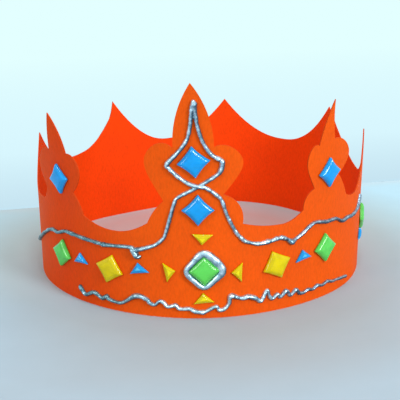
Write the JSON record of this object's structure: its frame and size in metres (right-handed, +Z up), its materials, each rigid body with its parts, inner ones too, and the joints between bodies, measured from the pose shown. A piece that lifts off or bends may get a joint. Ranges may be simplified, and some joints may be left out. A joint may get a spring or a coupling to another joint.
{
  "type": "paper crown",
  "caption": "Party crown of orange card in a glued ring, cut to fleurs and spikes, with flat-backed gems and silver relief-paint lines.",
  "frame": {"origin": "middle of the ring on the plane that its rim rests on", "axes": "+Z up out of the ring, -Y towards the front where the tall fleur stands, +X to the right as seen from the front"},
  "size_m": [0.1693, 0.1816, 0.1051],
  "materials": {
    "orange_card": "matt",
    "silver_paint": "glossy metallic",
    "blue_gem": "glossy",
    "green_gem": "glossy",
    "yellow_gem": "glossy"
  },
  "bodies": {
    "root": {"card_crown": "orange_card", "upper_bead": "silver_paint", "lower_bead": "silver_paint", "silver_setting": "silver_paint", "blue_gem_top": "blue_gem", "blue_gem_low": "blue_gem", "blue_gem_left": "blue_gem", "blue_gem_right": "blue_gem", "green_gem_middle": "green_gem", "green_gem_left": "green_gem", "green_gem_right": "green_gem", "green_gem_side": "green_gem", "yellow_gem_left": "yellow_gem", "yellow_gem_right": "yellow_gem", "yellow_chip_top": "yellow_gem", "yellow_chip_bottom": "yellow_gem", "yellow_chip_left": "yellow_gem", "yellow_chip_right": "yellow_gem", "blue_chip_left_inner": "blue_gem", "blue_chip_left_outer": "blue_gem", "blue_chip_right": "blue_gem", "blue_chip_side": "blue_gem"}
  },
  "joints": []
}
